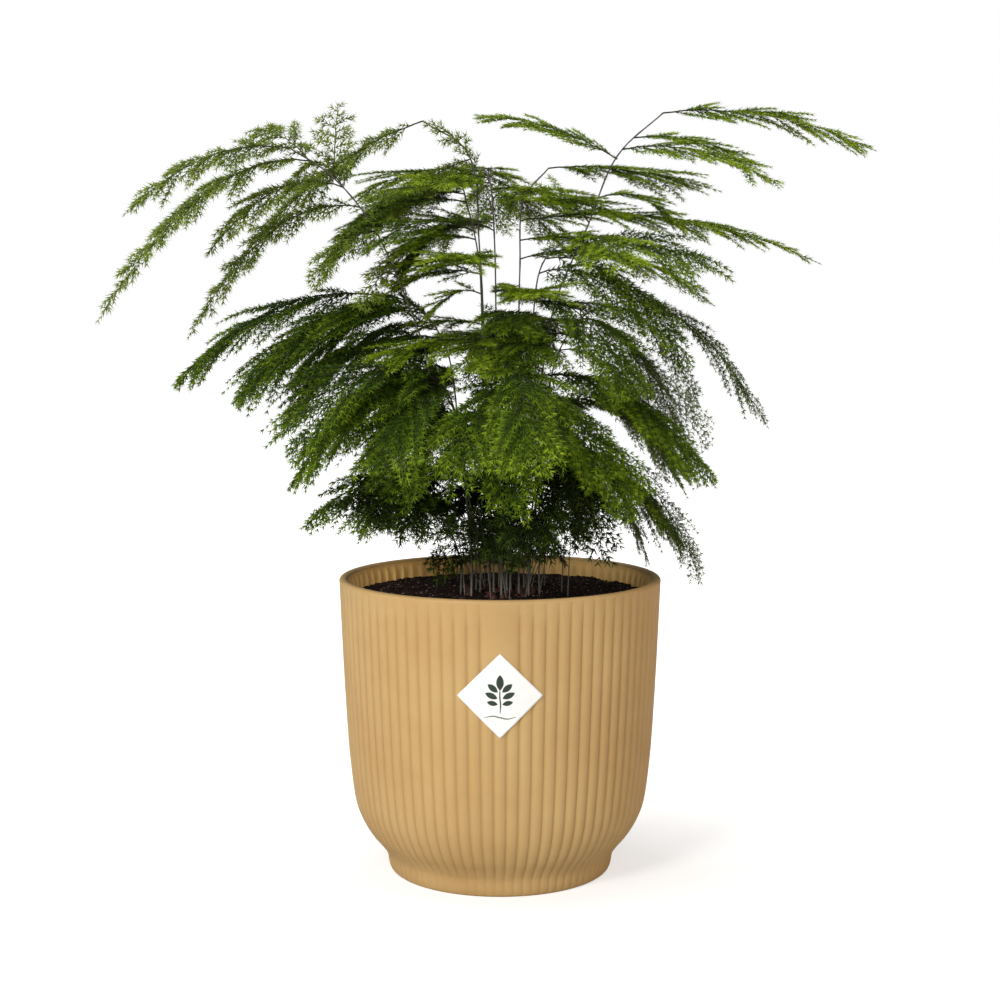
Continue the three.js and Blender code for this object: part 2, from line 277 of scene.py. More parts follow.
# Turns a profile of [radius, height] about the axis into a closed shell, with the map's V running
# along the profile and U round the axis.
def lathe(profile, steps):
    bm = bmesh.new()
    along = bm.verts.layers.float.new("along")
    lengths = [0.0]
    for a, b in zip(profile, profile[1:]):
        lengths.append(lengths[-1] + math.dist(a, b))
    verts = []
    for (r, z), length in zip(profile, lengths):
        vert = bm.verts.new((r, 0, z))
        vert[along] = length / lengths[-1]
        verts.append(vert)
    edges = [bm.edges.new(pair) for pair in zip(verts, verts[1:])]
    bmesh.ops.spin(bm, geom=verts + edges, cent=(0, 0, 0), axis=(0, 0, 1), dvec=(0, 0, 0),
                   angle=2 * math.pi, steps=steps, use_merge=True, use_duplicate=False)
    bmesh.ops.remove_doubles(bm, verts=bm.verts, dist=1e-6)
    bmesh.ops.recalc_face_normals(bm, faces=bm.faces)
    uv = bm.loops.layers.uv.new(bakeMap)
    for face in bm.faces:
        middle = face.calc_center_median()
        around = math.atan2(middle.y, middle.x)
        for loop in face.loops:
            co = loop.vert.co
            turn = math.remainder(math.atan2(co.y, co.x) - around, 2 * math.pi) if co.xy.length > 1e-6 else 0
            loop[uv].uv = ((around + turn) / (2 * math.pi) + 0.5, loop.vert[along])
    return bm


# Sweeps a round section along a path into a closed tube
def sweep(bm, path, radii, sides):
    uv = bm.loops.layers.uv.get(bakeMap) or bm.loops.layers.uv.new(bakeMap)
    spot = bm.verts.layers.float_vector.get("spot") or bm.verts.layers.float_vector.new("spot")
    ways = [(b - a).normalized() for a, b in zip(path, path[1:])]
    ways = [ways[0]] + [(a + b).normalized() for a, b in zip(ways, ways[1:])] + [ways[-1]]
    across = ways[0].orthogonal().normalized()
    before = len(bm.faces)
    last = None
    for i, (place, way, radius) in enumerate(zip(path, ways, radii)):
        across = (across - way * across.dot(way)).normalized()
        other = way.cross(across)
        turned = Matrix((across, other, way)).transposed().to_4x4()
        now = Matrix.Translation(place) @ turned @ Matrix.Scale(radius, 4)
        if last is None:
            ring = bmesh.ops.create_circle(bm, segments=sides, radius=1, matrix=now, cap_ends=True)["verts"]
            face = ring[0].link_faces[0]
            for k, vert in enumerate(ring):
                vert[spot] = (k / sides, 0, 0)
        else:
            made = bmesh.ops.extrude_face_region(bm, geom=[face])["geom"]
            ring = [g for g in made if isinstance(g, bmesh.types.BMVert)]
            bmesh.ops.delete(bm, geom=[face], context="FACES_ONLY")
            face = next(g for g in made if isinstance(g, bmesh.types.BMFace))
            bmesh.ops.transform(bm, matrix=now @ last.inverted(), verts=ring)
            for vert in ring:
                vert[spot] = (vert[spot][0], i / (len(path) - 1), 0)
        last = now
    bmesh.ops.holes_fill(bm, edges=[e for e in bm.edges if e.is_boundary], sides=sides)
    bm.faces.ensure_lookup_table()
    for face in bm.faces[before:]:
        shares = [loop.vert[spot][0] for loop in face.loops]
        wraps = max(shares) - min(shares) > 0.6 and len(face.verts) == 4
        for loop in face.loops:
            share, length, _ = loop.vert[spot]
            if wraps and share < 0.5:
                share += 1
            if len(face.verts) > 4:  # an end cap lies in a thin band of the map
                length += (0.01 if length < 0.5 else -0.01) * (1 + math.sin(2 * math.pi * share))
            loop[uv].uv = (share, length)


# Paths

def polar(r, azimuth, z):
    a = math.radians(azimuth)
    return Vector((r * math.cos(a), r * math.sin(a), z))


def pathLength(path):
    return sum((b - a).length for a, b in zip(path, path[1:]))


# A smooth dense path through points, closer where they are closer
def throughPoints(points, perSpan=24):
    path = []
    for i in range(len(points) - 1):
        p1, p2 = points[i], points[i + 1]
        p0 = points[i - 1] if i else p1 * 2 - p2
        p3 = points[i + 2] if i + 2 < len(points) else p2 * 2 - p1
        d0, d1, d2 = (max((a - b).length_squared ** 0.25, 1e-6) for a, b in ((p0, p1), (p1, p2), (p2, p3)))
        t1 = ((p1 - p0) / d0 - (p2 - p0) / (d0 + d1) + (p2 - p1) / d1) * d1
        t2 = ((p2 - p1) / d1 - (p3 - p1) / (d1 + d2) + (p3 - p2) / d2) * d1
        for k in range(perSpan):
            t = k / perSpan
            square, cube = p2 * 3 - p1 * 3 - t1 * 2 - t2, p1 * 2 - p2 * 2 + t1 + t2
            path.append(p1 + t1 * t + square * t ** 2 + cube * t ** 3)
    return path + [points[-1]]


# The same path in count equal lengths
def evenly(path, count):
    lengths = [0.0]
    for a, b in zip(path, path[1:]):
        lengths.append(lengths[-1] + (b - a).length)
    spaced, k = [], 0
    for i in range(count + 1):
        target = lengths[-1] * i / count
        while k < len(path) - 2 and lengths[k + 1] < target:
            k += 1
        share = (target - lengths[k]) / max(lengths[k + 1] - lengths[k], 1e-9)
        spaced.append(path[k].lerp(path[k + 1], share))
    return spaced


def bend(start, middle, end, t):
    return start * (1 - t) ** 2 + middle * (2 * t * (1 - t)) + end * t ** 2


def bendWay(start, middle, end, t):
    return ((middle - start) * (1 - t) + (end - middle) * t).normalized()


def ease(t):
    t = min(max(t, 0), 1)
    return t * t * (3 - 2 * t)


# Pot

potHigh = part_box("pot")[1]
pot = {
    "rimRadius": potHigh.x,
    "height": potHigh.z,
    "footRadius": 48.5 * mm,
    "footHeight": 8 * mm,
    "footCurve": [(-1.2, 0), (-0.2, 0.8), (0.6, 3), (1.0, 5.6)],  # out from its radius, and up
    "wall": 3.4 * mm,
    "floor": 4 * mm,
    # shares of the way out from foot to rim, and of the way up
    "bowl": [(0.2, 0.032), (0.42, 0.08), (0.66, 0.165), (0.79, 0.31), (0.9, 0.6)],
    "ribs": 80,
    "pointsPerRib": 8,
    "ribDepth": 0.8 * mm,
    "ribSquareness": 2.1,
    "fluteDepth": 1.0 * mm,  # on the inside
    "fluteSquareness": 2.2,
    "plainBand": 1.8 * mm,
    "lip": 1.5 * mm,
    "panelRibs": 3,  # ribs that give way to a plain panel above the label
    "panelFade": 3 * mm,
    "recess": (15 * mm, 38 * mm, 1.2 * mm),  # a ring under the foot: from, to, how deep
    "shade": linear(184, 146, 92),
    "light": linear(204, 172, 118),
    # painted shade with some dust: the colour laid in the groove bottoms, where shadow falls
    "grooveDustAndPaintedShade": linear(166, 128, 76),
    "inside": linear(255, 208, 130),  # painted light: the inner wall is lighter to make up for the shadow the foliage casts in it
    "finish": ((0.42, 0.6), (2600, 0.3, 0.12, 0.2 * mm)),  # as finishShader reads it
}
labelCentre = pot["height"] - 39 * mm
soilTop = pot["height"] - 8 * mm


# The outer wall as [radius, height] from the foot up to just under the lip
def potWall():
    spread = pot["rimRadius"] - pot["footRadius"]
    rise = pot["height"] - pot["footHeight"]
    knots = [(pot["footRadius"] + 1.7 * mm, pot["footHeight"])]
    knots += [(pot["footRadius"] + r * spread, pot["footHeight"] + z * rise) for r, z in pot["bowl"]]
    knots.append((pot["rimRadius"] - 0.1 * mm, pot["height"] - pot["plainBand"]))
    foot = [(pot["footRadius"] + r * mm, z * mm) for r, z in pot["footCurve"]]
    smooth = throughPoints([Vector((r, 0, z)) for r, z in foot + knots], 5)
    return [(p.x, p.z) for p in smooth]


wallProfile = potWall()


def wallRadius(z):
    for (r0, z0), (r1, z1) in zip(wallProfile, wallProfile[1:]):
        if z <= z1:
            return r0 + (r1 - r0) * max(0, z - z0) / (z1 - z0)
    return pot["rimRadius"]


def potProfile():
    top, lip = pot["height"], pot["lip"]
    under = [(0, 0), (pot["recess"][0] - 0.3 * mm, 0), (pot["recess"][0], 0.3 * mm),
             (pot["recess"][0], pot["recess"][2]), (pot["recess"][1], pot["recess"][2]),
             (pot["recess"][1], 0.3 * mm), (pot["recess"][1] + 0.3 * mm, 0)]
    lipOut = [(pot["rimRadius"] - lip * (1 - math.cos(a)), top - lip * (1 - math.sin(a)))
              for a in (k * math.pi / 12 for k in range(1, 7))]
    inner = pot["rimRadius"] - pot["wall"]
    lipIn = [(inner + lip * (1 - math.sin(a)) - 0.2 * mm, top - lip * (1 - math.cos(a)))
             for a in (k * math.pi / 12 for k in range(7))]
    heights = [top - d * mm for d in (2.2, 3, 4, 6, 8, 10, 16, 28, 45, 65, 85, 100, 112)]
    inside = [(wallRadius(z) - pot["wall"], z) for z in heights]
    inside += [(wallRadius(14 * mm) - 2 * pot["wall"], 6 * mm),
               (pot["footRadius"] - 9 * mm, pot["floor"]), (0, pot["floor"])]
    return under + wallProfile + lipOut + lipIn + inside


# Which rib an angle from the front falls on, and where across it
def ribAt(angle):
    place = abs(angle) / (2 * math.pi / pot["ribs"]) - pot["panelRibs"] / 2
    whole = math.floor(place)
    share = place - whole
    share -= 0.11 * math.sin(2 * math.pi * share)  # more points beside the groove
    return whole, share


def makePot(material):
    bm = lathe(potProfile(), pot["ribs"] * pot["pointsPerRib"])
    groove = bm.verts.layers.float.new("groove")
    inner = bm.verts.layers.float.new("inner")
    ribAngle = 2 * math.pi / pot["ribs"]
    for vert in bm.verts:
        radius = vert.co.xy.length
        z = vert.co.z
        if radius < pot["footRadius"] * 0.85 or z > pot["height"] - 1.2 * mm:
            continue
        outside = radius > wallRadius(z) - pot["wall"] / 2
        vert[inner] = 0 if outside else 1
        if not outside and z < soilTop - 12 * mm:
            continue
        angle = math.atan2(vert.co.x, -vert.co.y)
        whole, share = ribAt(angle)
        angle = math.copysign((whole + share + pot["panelRibs"] / 2) * ribAngle, angle)
        depth = abs(2 * share - 1) ** pot["ribSquareness"]
        if outside:
            fade = ease((pot["height"] - 1.3 * mm - z) / pot["plainBand"]) * ease(z / (1.2 * mm))
            fade *= 0.4 + 0.6 * ease((z - 5 * mm) / (9 * mm))  # softer on the foot
            if whole + share < -0.5:
                fade *= 1 - ease((z - labelCentre + pot["panelFade"]) / (2 * pot["panelFade"]))
            radius -= pot["ribDepth"] * depth * fade
            # how deep a spot lies in a groove, where the material paints shade and some dust
            vert[groove] = depth * fade
        else:
            fade = ease((pot["height"] - 1.6 * mm - z) / (4 * mm))
            depth = abs(2 * share - 1) ** pot["fluteSquareness"]
            radius -= pot["fluteDepth"] * depth * fade
            # the middle of each flute's recess, where the material paints shade
            vert[groove] = (1 - depth) ** 3 * fade * 0.8
        vert.co = (radius * math.sin(angle), -radius * math.cos(angle), z)
    addPiece("ribbed_pot", bm, material, "pot", "pot")


def potPlastic():
    material, tree, shader = newMaterial("mattButterPlastic", 0.25)
    place = objectPlace(tree)
    inner, groove = (addNode(tree, "ShaderNodeAttribute", attribute_name=name).outputs["Fac"]
                     for name in ("inner", "groove"))
    body = addMix(tree, patchy(tree, place, 22, 1.6), pot["shade"], pot["light"])
    # painted light: the inner wall takes a lighter colour where the foliage shades it
    body = addMix(tree, inner, body, pot["inside"])
    # painted shade with some dust: the grooves are darkened where they are deepest
    colour = glaze(tree, groove, 0.3, 1, 0.5, body, pot["grooveDustAndPaintedShade"])
    finishShader(shader, colour, patchy(tree, place, 60, 2), pot["finish"])
    return material


# Label

label = {
    "half": 17.5 * mm,
    "thickness": 0.3 * mm,
    "lift": 0.3 * mm,
    "paper": linear(252, 252, 250),
    "paperShade": linear(243, 243, 240),
    "ink": linear(32, 42, 34),
    "inkLight": linear(60, 92, 64),
    # leaves of the printed sprig: place on the label, length, width, lean in degrees
    "leaves": [(0, 5.6, 6.4, 3.0, 90), (-2.9, 3.3, 5.2, 2.4, 140), (2.9, 3.3, 5.2, 2.4, 40),
               (-3.5, 0.2, 5.4, 2.4, 155), (3.5, 0.2, 5.4, 2.4, 25),
               (-3.1, -2.9, 4.4, 2.0, 168), (3.1, -2.9, 4.4, 2.0, 12)],
    "stalk": [(0, -7.2), (0.25, -4), (-0.1, 0), (0, 3.2)],
    "stalkWidth": 0.55,
    "underline": [(-6.4, -8.9), (-3, -8.2), (0, -8.8), (3, -9.4), (6.4, -8.7)],
    "underlineWidth": 0.45,
    "lineTop": 7.5 * mm,  # how far under the middle the lighter underline starts
    "ripple": 0.05 * mm,
    "paperFinish": ((0.38, 0.55), (3800, 0.1, 0.1, 0.1 * mm)),
    "inkFinish": ((0.3, 0.5), (3000, 0.2, 0.08, 0.1 * mm)),
}


# A point of the label, across and up from its middle, on the pot's crests
def onLabel(x, z, lift):
    radius = wallRadius(labelCentre + z) + lift
    angle = x / pot["rimRadius"] * 1.02
    return Vector((radius * math.sin(angle), -radius * math.cos(angle), labelCentre + z))


def makeLabel(paper, ink):
    half = label["half"]
    bm = bmesh.new()
    bmesh.ops.create_grid(bm, x_segments=36, y_segments=36, size=half / math.sqrt(2))
    bmesh.ops.rotate(bm, verts=bm.verts, cent=(0, 0, 0), matrix=Matrix.Rotation(math.pi / 4, 3, "Z"))
    for vert in bm.verts:
        x, z = vert.co.x, vert.co.y
        ripple = math.cos(x / pot["rimRadius"] * pot["ribs"]) + noise.noise(Vector((x, z, 0)) * 120)
        ripple *= label["ripple"]
        vert.co = onLabel(x, z, label["lift"] + label["thickness"] + ripple * ease(-z / (4 * mm) + 0.5))
    bmesh.ops.recalc_face_normals(bm, faces=bm.faces)
    bm.faces.ensure_lookup_table()
    if bm.faces[0].normal.y > 0:
        bmesh.ops.reverse_faces(bm, faces=bm.faces)
    bmesh.ops.solidify(bm, geom=bm.faces[:], thickness=label["thickness"] * 0.85)
    bmesh.ops.recalc_face_normals(bm, faces=bm.faces)
    addPiece("paper_label", bm, paper, "label", "label")

    lift = label["lift"] + label["thickness"] + 0.1 * mm
    bm = bmesh.new()
    for x, z, length, width, lean in label["leaves"]:
        leaf = bmesh.ops.create_circle(bm, segments=20, radius=1, cap_ends=True)["verts"]
        for vert in leaf:
            t = vert.co.x
            vert.co.y *= (1 - abs(t) ** 2.4) ** 0.5 * width * mm / 2
            vert.co.x = t * length * mm / 2
        bmesh.ops.rotate(bm, verts=leaf, cent=(0, 0, 0), matrix=Matrix.Rotation(math.radians(lean), 3, "Z"))
        bmesh.ops.translate(bm, verts=leaf, vec=(x * mm, z * mm, 0))
    for line in ("stalk", "underline"):
        path = throughPoints([Vector((x * mm, z * mm, 0)) for x, z in label[line]], 8)
        sweepFlat(bm, path, label[line + "Width"] * mm)
    bmesh.ops.remove_doubles(bm, verts=bm.verts, dist=1e-6)
    for vert in bm.verts:
        vert.co = onLabel(vert.co.x, vert.co.y, lift)
    bmesh.ops.recalc_face_normals(bm, faces=bm.faces)
    bmesh.ops.reverse_faces(bm, faces=[f for f in bm.faces if f.normal.y > 0])
    bmesh.ops.solidify(bm, geom=bm.faces[:], thickness=0.06 * mm)
    addPiece("label_sprig", bm, ink, "label", smooth=False)


# A flat line of one width along a level path, thinner at its ends
def sweepFlat(bm, path, width):
    count = len(path)
    last = None
    for i, place in enumerate(path):
        way = (path[min(i + 1, count - 1)] - path[max(i - 1, 0)]).normalized()
        half = width / 2 * (0.35 + 0.65 * math.sin(math.pi * (i + 0.5) / count))
        side = Vector((-way.y, way.x, 0)) * half
        pair = [bm.verts.new(place + side), bm.verts.new(place - side)]
        edge = bm.edges.new(pair)
        if last:
            bmesh.ops.bridge_loops(bm, edges=[last, edge])
        last = edge


def labelPaper():
    material, tree, shader = newMaterial("labelPaper")
    patches = patchy(tree, objectPlace(tree), 160, 1.2)
    colour = addMix(tree, patches, label["paperShade"], label["paper"])
    finishShader(shader, colour, patches, label["paperFinish"])
    return material


def labelInk():
    material, tree, shader = newMaterial("labelInk")
    place = objectPlace(tree)
    lineTop = labelCentre - label["lineTop"]
    low = addRange(tree, axisOf(tree, place, "Z"), lineTop - 0.1 * mm, lineTop + 0.1 * mm, 1, 0)
    patches = patchy(tree, place, 500, 1.5)
    tint = addMix(tree, low, label["ink"], label["inkLight"])
    colour = glaze(tree, patches, 0, 1, 0.35, tint, label["inkLight"])
    finishShader(shader, colour, patches, label["inkFinish"])
    return material


# Soil and crown

soil = {
    "edge": wallRadius(soilTop) - pot["wall"] - 0.1 * mm,
    "waves": [(9, 0.9), (3.2, 0.55), (1.3, 0.35), (0.6, 0.18)],  # millimetres across, and high
    # how many, their size in millimetres, and their tint from black to speck
    "crumbs": (2200, (0.25, 0.75), (0.02, 0.42)),
    "chips": (420, (0.5, 1.15), (0.44, 0.7)),
    "specks": (1250, (0.12, 0.3), (0.78, 0.98)),
    "lumps": ((1, 1, 0.8), (1.5, 0.9, 0.6), (2.6, 0.8, 0.5), (1, 0.8, 0.9)),  # their proportions
    "black": linear(7, 4, 4),
    "brown": linear(34, 19, 15),
    "bark": linear(70, 42, 32),
    "paleBark": linear(150, 130, 120),
    "speck": linear(226, 196, 190),
    "finish": ((0.75, 0.98), (1200, 0.8, 0.6, 0.4 * mm)),
    "grainFinish": ((0.65, 0.95), (3000, 0.6, 0.4, 0.2 * mm)),
}
crownLow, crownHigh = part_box("crown")
crown = {
    "radius": (crownHigh.x - crownLow.x) / 2,
    "top": crownHigh.z,
    "knobs": 34,
    "red": linear(92, 40, 30),
    "brown": linear(40, 26, 20),
    "pale": linear(110, 88, 72),
    "finish": ((0.6, 0.9), (700, 0.7, 0.5, 0.4 * mm)),
}


def soilHeight(x, y):
    height = 0
    for size, high in soil["waves"]:
        height += high * mm * noise.noise(Vector((x, y, size * mm)) / (size * mm))
    r = math.hypot(x, y)
    return soilTop + height + 1.2 * mm * ease(1 - r / (40 * mm)) - 0.8 * mm * ease((r - 60 * mm) / (6 * mm))


def makeSoil(material, crumbMaterial):
    edge = soil["edge"]
    rings = 64
    depth = [(0, pot["floor"] + 0.3 * mm), (pot["footRadius"] - 9.5 * mm, pot["floor"] + 0.3 * mm)]
    heights = (24 * mm, 40 * mm, 60 * mm, 90 * mm, soilTop - 12 * mm)
    depth += [(wallRadius(z) - pot["wall"] - 0.4 * mm, z) for z in heights]
    top = [(edge * (1 - (k / rings)), soilTop) for k in range(rings + 1)]
    bm = lathe(depth + top, 220)
    for vert in bm.verts:
        if vert.co.z > soilTop - 0.1 * mm:
            vert.co.z = soilHeight(vert.co.x, vert.co.y)
    addPiece("potting_soil", bm, material, "soil", "soil")

    rand = random.Random(5)
    lumps = [lumpShape(rand, stretch) for stretch in soil["lumps"]]
    bm = stampingGround()
    for kind in ("crumbs", "chips", "specks"):
        count, sizes, tints = soil[kind]
        for _ in range(count):
            r = (edge - 1.2 * mm) * math.sqrt(rand.random())
            a = rand.uniform(0, 2 * math.pi)
            x, y = r * math.cos(a), r * math.sin(a)
            size = rand.uniform(*sizes) * mm
            turn = Matrix.Rotation(rand.uniform(0, 6.28), 4, "Z")
            turn = turn @ Matrix.Rotation(rand.uniform(-0.5, 0.5), 4, "X")
            place = Matrix.Translation((x, y, soilHeight(x, y) + size * 0.15))
            stamp(bm, rand.choice(lumps), place @ turn @ Matrix.Scale(size, 4), rand.uniform(*tints))
    addPiece("soil_grains", bm, crumbMaterial, "soil", smooth=False)


# Shapes that are stamped many times. A shape's own strip of the map is narrow, and stamping moves
# it along U by the tint.

stripWidth = 0.012


# Lays each face of a small upright shape in a narrow strip of the map: V is the height
def unfold(bm):
    width = stripWidth
    uv = bm.loops.layers.uv.new(bakeMap)
    low = min(v.co.z for v in bm.verts)
    tall = max(v.co.z for v in bm.verts) - low
    for face in bm.faces:
        middle = face.calc_center_median()
        aside = up.cross(face.normal)
        flat = aside.length < 0.3
        for k, loop in enumerate(face.loops):
            height = (loop.vert.co.z - low) / tall
            if flat:
                loop[uv].uv = ((0, width, width / 2)[k % 3], 0.02 + 0.96 * height + (0.02 if k == 2 else 0))
            else:
                reach = (loop.vert.co - middle).dot(aside.normalized())
                u = width / 2 + math.copysign(width / 2, reach) * min(1, abs(reach) * 1e6)
                loop[uv].uv = (u, 0.02 + 0.96 * height)


# Keeps a shape's mesh with its points and map, ready to stamp
def keepShape(name, bm):
    mesh = bpy.data.meshes.new(name)
    bm.to_mesh(mesh)
    bm.free()
    points = np.empty(len(mesh.vertices) * 3, np.float32)
    mesh.vertices.foreach_get("co", points)
    corners = np.empty(len(mesh.loops) * 2, np.float32)
    mesh.uv_layers[bakeMap].uv.foreach_get("vector", corners)
    return {"mesh": mesh, "points": points, "map": corners}


def stampingGround():
    bm = bmesh.new()
    bm.loops.layers.uv.new(bakeMap)
    return bm


def stamp(bm, shape, matrix, tint):
    mesh = shape["mesh"]
    mesh.vertices.foreach_set("co", shape["points"])
    mesh.transform(matrix)
    corners = shape["map"].copy()
    corners[::2] += tint
    mesh.uv_layers[bakeMap].uv.foreach_set("vector", corners)
    bm.from_mesh(mesh, face_normals=False, vertex_normals=False)


def lumpShape(rand, stretch):
    bm = bmesh.new()
    bmesh.ops.create_icosphere(bm, subdivisions=1, radius=1)
    for vert in bm.verts:
        vert.co *= rand.uniform(0.7, 1.15)
    bmesh.ops.scale(bm, vec=stretch, verts=bm.verts)
    bmesh.ops.recalc_face_normals(bm, faces=bm.faces)
    unfold(bm)
    return keepShape("lump", bm)


# A closed three-sided stick one unit long up Z, a little thinner at its end
def stickShape():
    bm = bmesh.new()
    bmesh.ops.create_cone(bm, cap_ends=True, segments=3, radius1=1, radius2=0.86, depth=1)
    bmesh.ops.translate(bm, verts=bm.verts, vec=(0, 0, 0.5))
    unfold(bm)
    return keepShape("stick", bm)


# A tuft of needles one unit long that lean out round Z, as they sit at a joint of a twig
def tuftShape(rand, needles, thick, lean):
    bm = bmesh.new()
    for k in range(needles):
        cone = bmesh.ops.create_cone(bm, cap_ends=True, segments=3, radius1=thick, radius2=0, depth=1)
        made = cone["verts"]
        bmesh.ops.translate(bm, verts=made, vec=(0, 0, 0.5))
        size = rand.uniform(0.78, 1.08)
        tilt = Matrix.Rotation(math.radians(lean + rand.uniform(-14, 14)), 4, "X")
        turn = Matrix.Rotation(2 * math.pi * (k + rand.uniform(-0.25, 0.25)) / needles, 4, "Z")
        bmesh.ops.transform(bm, verts=made, matrix=turn @ tilt @ Matrix.Diagonal((1, 1, size, 1)))
    bmesh.ops.remove_doubles(bm, verts=bm.verts, dist=1e-5)
    needleMap(bm)
    return keepShape("tuft", bm)


# V runs from a needle's foot to its point
def needleMap(bm):
    width = stripWidth
    uv = bm.loops.layers.uv.new(bakeMap)
    for face in bm.faces:
        reaches = [loop.vert.co.length for loop in face.loops]
        cap = max(reaches) < 0.3
        for k, loop in enumerate(face.loops):
            v = min(reaches[k], 1) * 0.96 + 0.02 + (0.03 if cap and k == 2 else 0)
            loop[uv].uv = ((0, width, width / 2)[k], v)
        if not cap:
            tip = max(range(3), key=lambda k: reaches[k])
            for k, u in ((tip, width / 2), ((tip + 1) % 3, 0), ((tip + 2) % 3, width)):
                face.loops[k][uv].uv = (u, face.loops[k][uv].uv[1])


def makeCrown(material):
    rand = random.Random(8)
    radius, top = crown["radius"], crown["top"]
    profile = [(0, top - 15 * mm), (radius * 0.6, top - 15 * mm), (radius * 0.95, top - 10 * mm),
               (radius, top - 3 * mm), (radius * 0.9, top - 1.4 * mm)]
    profile += [(radius * (0.9 - 0.1 * k), top - 0.6 * mm) for k in range(1, 9)] + [(0, top - 0.6 * mm)]
    bm = lathe(profile, 84)
    bm.loops.layers.uv.remove(bm.loops.layers.uv[bakeMap])
    for vert in bm.verts:
        a = math.atan2(vert.co.y, vert.co.x)
        share = vert.co.xy.length / radius
        vert.co.xy *= 1 - 0.05 * share * (1 + math.sin(7 * a)) / 2
        if vert.co.z > top - 2 * mm:
            vert.co.z += 0.8 * mm * noise.noise(vert.co * 260) - 1.2 * mm * share ** 3
    for _ in range(crown["knobs"]):
        r = radius * 0.82 * math.sqrt(rand.random())
        a = rand.uniform(0, 360)
        place = polar(r, a, top - rand.uniform(0.2, 0.8) * mm)
        made = bmesh.ops.create_icosphere(bm, subdivisions=2, radius=1)["verts"]
        size = rand.uniform(1.2, 2.4) * mm
        for vert in made:
            vert.co *= 1 + 0.25 * noise.noise(vert.co * 1.6 + place * 900)
        shape = Matrix.Diagonal((size, size * rand.uniform(0.7, 1), size * rand.uniform(0.7, 1.25), 1))
        turn = Matrix.Rotation(rand.uniform(0, 3), 4, "Z")
        bmesh.ops.transform(bm, verts=made, matrix=Matrix.Translation(place) @ turn @ shape)
    addPiece("root_crown", bm, material, "crown", "crown")


def soilMaterial():
    material, tree, shader = newMaterial("pottingSoil", 0.15)
    place = objectPlace(tree)
    fine = patchy(tree, place, 1400, 3)
    damp = addMix(tree, patchy(tree, place, 220, 2.2), soil["black"], soil["brown"])
    finishShader(shader, glaze(tree, fine, 0.7, 1, 0.6, damp, soil["bark"]), fine, soil["finish"])
    return material


# The tint and the height that a stamped shape's map holds, and streaks along the shape
def stampedParts(tree, across, along, contrast):
    where = addNode(tree, "ShaderNodeUVMap", uv_map=bakeMap).outputs["UV"]
    stretch = addNode(tree, "ShaderNodeMapping")
    stretch.inputs["Scale"].default_value = (across, along, 1)
    give(stretch.inputs["Vector"], where)
    streak = patchy(tree, stretch.outputs["Vector"], 1, contrast)
    return axisOf(tree, where, "X"), axisOf(tree, where, "Y"), streak


def grainMaterial():
    material, tree, shader = newMaterial("barkAndGrit", 0.2)
    tint, _, streak = stampedParts(tree, 40, 6, 2)
    colour = addRamp(tree, tint, [(0, soil["black"]), (0.4, soil["brown"]), (0.44, soil["brown"]),
                                  (0.72, soil["bark"]), (0.76, soil["paleBark"]), (1, soil["speck"])])
    colour = glaze(tree, streak, 0, 1, 0.5, colour, soil["black"])
    finishShader(shader, colour, streak, soil["grainFinish"])
    return material


def crownMaterial():
    material, tree, shader = newMaterial("crownBark")
    place = objectPlace(tree)
    fine = patchy(tree, place, 900, 2.4)
    skin = addMix(tree, patchy(tree, place, 180, 2.4), crown["brown"], crown["red"])
    finishShader(shader, glaze(tree, fine, 0.72, 1, 0.5, skin, crown["pale"]), fine, crown["finish"])
    return material


# Stems

stem = {
    "foot": 0.42 * mm,  # radius at the soil
    "tip": 0.3 * mm,
    "sides": 7,
    "young": 20,  # how many short ones
    "youngRise": (14, 46),  # above the soil
    "youngRoot": (3, 25),  # from the middle, all in millimetres
    "youngLean": (1, 14),
    "youngRadius": (0.18, 0.32),
    "ringGap": 3.2 * mm,
    "scarEvery": 4,
    "scarSwell": 1.22,
    "socketBottom": crown["top"] - 5 * mm,
    "uprightFoot": 14 * mm,
    "rings": 14,  # stretches of the CAD stem, which the plumes are rooted on
    "clearance": 0.3 * mm,
    "pale": linear(112, 112, 98),
    "green": linear(74, 84, 46),
    "dusk": linear(70, 62, 64),
    "scar": linear(62, 50, 44),
    "finish": ((0.45, 0.75), (1500, 0.3, 0.3, 0.2 * mm)),
}

